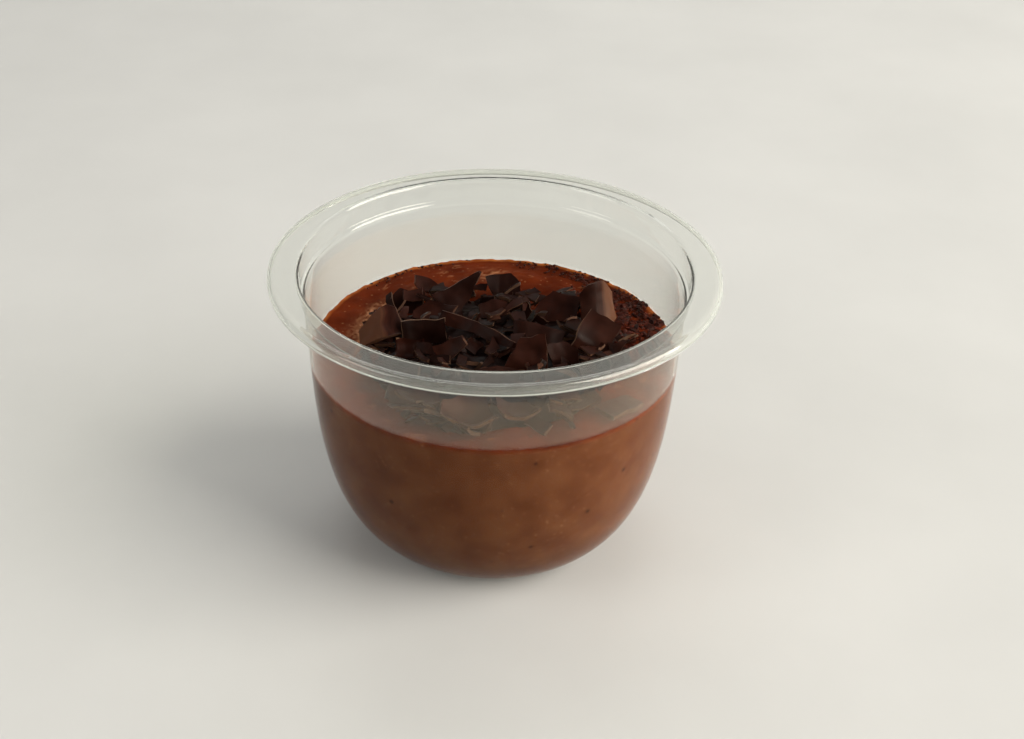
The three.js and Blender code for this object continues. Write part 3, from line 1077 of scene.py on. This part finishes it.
# %% Scatter the small plates
DROP_FROM = 60 * MM
SINK = 0.25 * MM  # how far a plate's first corner presses into what it lands on
HIGHEST = 51.8 * MM
HIGHEST_BY_HORN = 48.6 * MM  # in front of the horn-shaped curl, which stands clear of the small ones
PAINTED_GLINT_SHARE = 0.03  # of the small plates, given a pale tone as painted glints
PILE_EVERY = 12  # after so many new plates the pile that the next ones land on is searched anew


def scatter_small(count, seed):
    """Small plates dropped at random places. One that cuts a large shaving or lies too high is left out."""
    chance = random.Random(seed)
    ground = tree_of([mesh_part(core), mesh_part(mousse)])
    standing = tree_of([mesh_part(plate) for plate in large])
    placed = []
    pile = ground
    for _ in range(count):
        angle, share = chance.uniform(0, 2 * math.pi), math.sqrt(chance.uniform(0, 1))
        reach = heap_reach(angle) * share * 1.02
        x, y = HEAP_CENTRE.x + reach * math.cos(angle), HEAP_CENTRE.y + reach * math.sin(angle)
        length = chance.uniform(2.2, 6.5) * MM
        points, polygons = small_plate(
            chance, length, length * chance.uniform(0.35, 0.8), chance.uniform(0.4, 0.8) * MM
        )
        tilt = Matrix.Rotation(chance.uniform(0, 2 * math.pi), 3, "Z")
        tilt = tilt @ Matrix.Rotation(math.radians(chance.triangular(0, 70, 22)), 3, "X")
        tilt = tilt @ Matrix.Rotation(chance.uniform(0, 2 * math.pi), 3, "Z")
        points = points @ np.array(tilt).T + [x, y, DROP_FROM]
        fall = drop(points, [pile, ground], SINK)
        if not math.isfinite(fall):
            continue
        points[:, 2] -= fall
        mine = BVHTree.FromPolygons([tuple(p) for p in points], polygons)
        in_front_of_horn = abs(x + 2.5 * MM) < 4 * MM and y > 9 * MM
        highest = HIGHEST_BY_HORN if in_front_of_horn else HIGHEST
        if mine.overlap(standing) or points[:, 2].max() > highest:
            continue
        placed.append((points, polygons))
        if len(placed) % PILE_EVERY == 0:
            pile = tree_of(placed)
    # tones lean to nearly black, painted shade in the depth of the heap; the few pale ones are painted
    # glints
    tones = [chance.triangular(0, 65, 12) for _ in placed]
    tones = [chance.uniform(72, 84) if chance.random() < PAINTED_GLINT_SHARE else tone for tone in tones]
    return joined("small_shavings", placed, CHOCOLATE, tones)


small = scatter_small(560, seed=21)
print("small shavings:", len(small.data.polygons), "faces")

# %% [markdown]
# ## Crumbs and grated chocolate
#
# Scraping also leaves dust and crumbs, from a third of a millimetre to two millimetres. They lie thickest
# on the right and along the back, where the mousse is nearly covered. Each crumb is a lopsided
# icosahedron, set a little into the mousse.


# %% One crumb
def crumb(chance, size):
    """A lopsided icosahedron, in metres."""
    golden = (1 + 5 ** 0.5) / 2
    corners = [(-1, golden, 0), (1, golden, 0), (-1, -golden, 0), (1, -golden, 0)]
    corners += [(0, -1, golden), (0, 1, golden), (0, -1, -golden), (0, 1, -golden)]
    corners += [(golden, 0, -1), (golden, 0, 1), (-golden, 0, -1), (-golden, 0, 1)]
    faces = [(0, 11, 5), (0, 5, 1), (0, 1, 7), (0, 7, 10), (0, 10, 11), (1, 5, 9), (5, 11, 4)]
    faces += [(11, 10, 2), (10, 7, 6), (7, 1, 8), (3, 9, 4), (3, 4, 2), (3, 2, 6), (3, 6, 8)]
    faces += [(3, 8, 9), (4, 9, 5), (2, 4, 11), (6, 2, 10), (8, 6, 7), (9, 8, 1)]
    points = np.array(corners) / np.linalg.norm(corners[0])
    stretch = [chance.uniform(0.6, 1.5), chance.uniform(0.5, 1.0), chance.uniform(0.35, 0.8)]
    jag = np.array([[chance.uniform(0.75, 1.2)] for _ in corners])
    turn = Matrix.Rotation(chance.uniform(0, 2 * math.pi), 3, "Z")
    turn = turn @ Matrix.Rotation(chance.uniform(-0.7, 0.7), 3, "X")
    return (points * stretch * jag * size / 2) @ np.array(turn).T, faces


print("faces of a crumb:", len(crumb(random.Random(1), 1 * MM)[1]))


# %% Material: grated dark chocolate
def grated_chocolate():
    """Matt chips whose thin edges let some light through, so that a few look redder than the shavings."""
    material = new_material("grated_dark_chocolate")
    number = add_node(material, "ShaderNodeAttribute", {}, attribute_name="plate_mm").outputs["Vector"]
    own = add_node(material, "ShaderNodeSeparateXYZ", {"Vector": number}).outputs["Z"]
    redness = add_node(material, "ShaderNodeMapRange", {"Value": own, "From Min": 0.0, "From Max": 100.0})
    tone = add_node(
        material,
        "ShaderNodeMix",
        {"Factor": redness, 6: colour("#170806"), 7: colour("#4f1c0e")},
        data_type="RGBA",
    )
    body = add_node(
        material,
        "ShaderNodeBsdfPrincipled",
        {"Base Color": tone, "Roughness": 0.5, "IOR": 1.45, "Specular IOR Level": 0.1},
    )
    add_node(material, "ShaderNodeOutputMaterial", {"Surface": body})
    return material


# %% Scatter the crumbs
RAISED = 0.12  # how far above the ground a crumb's middle lies, as a share of its size


def scatter_crumbs(count, seed):
    """Crumbs at random places, kept as often as the density there says, larger on the right."""
    chance = random.Random(seed)
    ground = tree_of([mesh_part(core), mesh_part(mousse), mesh_part(small)])
    placed = []
    for _ in range(count):
        angle, reach = chance.uniform(0, 2 * math.pi), EDGE_RADIUS * math.sqrt(chance.uniform(0, 1)) * 1.01
        x, y = reach * math.cos(angle), reach * math.sin(angle)
        if chance.random() > crumb_density(x, y):
            continue
        on_right = x > 12 * MM and y < 20 * MM
        smallest, usual, largest = 0.35, 0.6, 2.0 if on_right else 1.0
        size = chance.triangular(smallest, largest, usual) * MM
        points, faces = crumb(chance, size)
        hit = ground.ray_cast(Vector((x, y, DROP_FROM)), Vector((0, 0, -1)))
        points += [x, y, hit[0].z + RAISED * size]
        placed.append((points, faces))
    redness = [chance.triangular(0, 100, 15) for _ in placed]
    return joined("grated_chocolate", placed, grated_chocolate(), redness)


crumbs = scatter_crumbs(24000, seed=3)
print("crumbs:", len(crumbs.data.polygons), "faces")

# %% [markdown]
# ## Floor, light and camera
#
# The dessert stands on a plain pale floor that bends up behind it, so no horizon shows through the clear
# rim. A large soft lamp stands at the right, a little in front. A smaller, dimmer one at the left fills
# the shadows, and one behind and above lights the back of the rim. The camera looks down at 33 degrees.


# %% The floor
def pale_floor():
    """Matt painted board, with a mottle about 60 mm wide that is only just there."""
    material = new_material("pale_matt_board")
    place = add_node(material, "ShaderNodeTexCoord", {}).outputs["Object"]
    mottle = add_node(material, "ShaderNodeTexNoise", {"Vector": place, "Scale": 1 / (60 * MM), "Detail": 4})
    mottled = add_node(material, "ShaderNodeMapRange", {"Value": mottle, **NOISE_SPAN})
    tone = add_node(
        material,
        "ShaderNodeMix",
        {"Factor": mottled, 6: colour("#d1d2d1"), 7: colour("#d7d8d7")},
        data_type="RGBA",
    )
    board = add_node(material, "ShaderNodeBsdfPrincipled", {"Base Color": tone, "Roughness": 0.8})
    add_node(material, "ShaderNodeOutputMaterial", {"Surface": board})
    return material


def make_floor():
    """A board that lies flat, bends up behind the cup and ends upright."""
    half_width, front, depth, rise, top = 1.8, -1.5, 0.7, 0.35, 1.6
    profile = [(front, 0.0), (depth, 0.0)]
    for step in range(1, 13):
        turn = math.radians(90 * step / 12)
        profile.append((depth + rise * math.sin(turn), rise * (1 - math.cos(turn))))
    profile.append((depth + rise, top))
    vertices = [(side, y, z) for y, z in profile for side in (-half_width, half_width)]
    faces = [(2 * i, 2 * i + 1, 2 * i + 3, 2 * i + 2) for i in range(len(profile) - 1)]
    floor = mesh_object("floor", vertices, faces, pale_floor())
    return floor


print("floor:", len(make_floor().data.polygons), "faces")


# %% Lamps and sky
def area_lamp(name, place, target, size, power, tint):
    """A rectangular lamp of a size in metres and a power in watts, turned towards its target."""
    light = bpy.data.lights.new(name, "AREA")
    light.shape = "RECTANGLE"
    light.size, light.size_y = size
    light.energy = power
    light.color = colour(tint)[:3]
    lamp = bpy.data.objects.new(name, light)
    lamp.location = place
    lamp.rotation_euler = (Vector(target) - Vector(place)).to_track_quat("-Z", "Y").to_euler()
    bpy.context.scene.collection.objects.link(lamp)


CUP_MIDDLE = (0, 0, CUP_HEIGHT / 2)
area_lamp("key", (1.30, -0.42, 0.72), CUP_MIDDLE, (1.36, 1.36), 41.0, "#fff9ee")
area_lamp("left", (-0.44, -0.23, 0.34), CUP_MIDDLE, (0.28, 0.36), 0.8, "#fdf8f2")
area_lamp("back", (0.0, 0.60, 0.80), CUP_MIDDLE, (0.7, 0.3), 1.5, "#ffffff")

world = bpy.data.worlds.new("studio")
bpy.context.scene.world = world
world.use_nodes = True
world.node_tree.nodes["Background"].inputs["Color"].default_value = colour("#e8e8e4")
world.node_tree.nodes["Background"].inputs["Strength"].default_value = 0.22
bpy.context.scene.view_settings.view_transform = "Standard"  # colours come out as mixed, with no film curve


# %% The camera
def make_camera():
    """A camera that looks down at the cup and leans by a degree, with its shift for the framing."""
    elevation = math.radians(33.0)
    distance = 347.1 * MM
    aim = Vector((0, 0, 35 * MM))
    towards = Vector((0, math.cos(elevation), -math.sin(elevation)))
    right = Vector((1, 0, 0))
    up = right.cross(towards)
    level = Matrix((right, up, -towards)).transposed()
    lean = Matrix.Rotation(math.radians(1.05), 3, "Z")
    data = bpy.data.cameras.new("camera")
    data.sensor_width = 36
    data.lens = 55.6
    data.shift_x = 0.0184
    data.shift_y = 0.0163
    data.clip_start = 0.01
    camera = bpy.data.objects.new("camera", data)
    camera.matrix_world = Matrix.Translation(aim - towards * distance) @ (level @ lean).to_4x4()
    bpy.context.scene.collection.objects.link(camera)
    bpy.context.scene.camera = camera
    return camera


print("camera at, m:", [round(value, 3) for value in make_camera().location])
